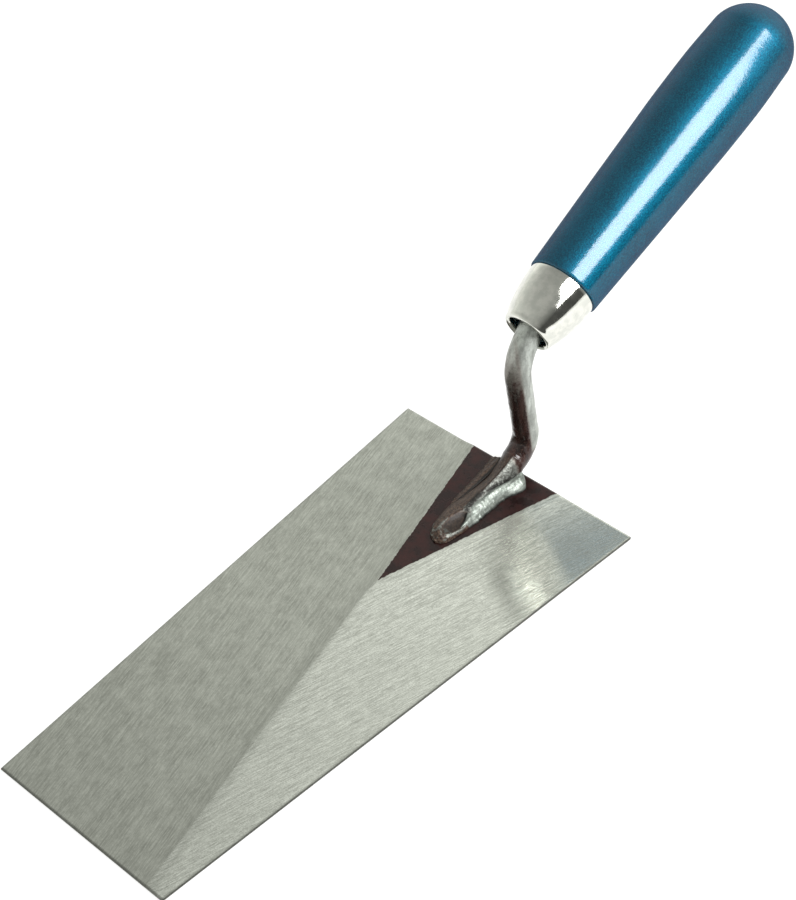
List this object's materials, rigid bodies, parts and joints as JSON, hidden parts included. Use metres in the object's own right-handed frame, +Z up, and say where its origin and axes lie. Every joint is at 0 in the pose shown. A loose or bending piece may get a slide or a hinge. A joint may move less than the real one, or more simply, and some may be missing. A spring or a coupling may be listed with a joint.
{
  "type": "brick trowel",
  "caption": "Bricklayer's trowel with a square-fronted tapered steel blade, a welded cranked neck, a plated ferrule and a blue lacquered wooden grip.",
  "frame": {"origin": "middle of the blade's underside, halfway between heel and front edge", "axes": "+X towards the blade's front edge, +Y to the left of someone holding the handle and looking along the blade, +Z up, away from the face that the blade lies on"},
  "size_m": [0.3337, 0.098, 0.1299],
  "materials": {
    "blade_steel": "ground, with a dark brown lacquered triangle under the neck",
    "forged_steel": "forged scale, bare at the top and brown lacquered lower down",
    "weld_metal": "rough weld bead, partly lacquered",
    "plated_steel": "bright nickel plate",
    "lacquered_wood": "glossy metallic blue lacquer"
  },
  "bodies": {
    "root": {"blade": "blade_steel", "neck": "forged_steel", "weld_left": "weld_metal", "weld_right": "weld_metal", "ferrule": "plated_steel", "grip": "lacquered_wood"}
  },
  "joints": []
}
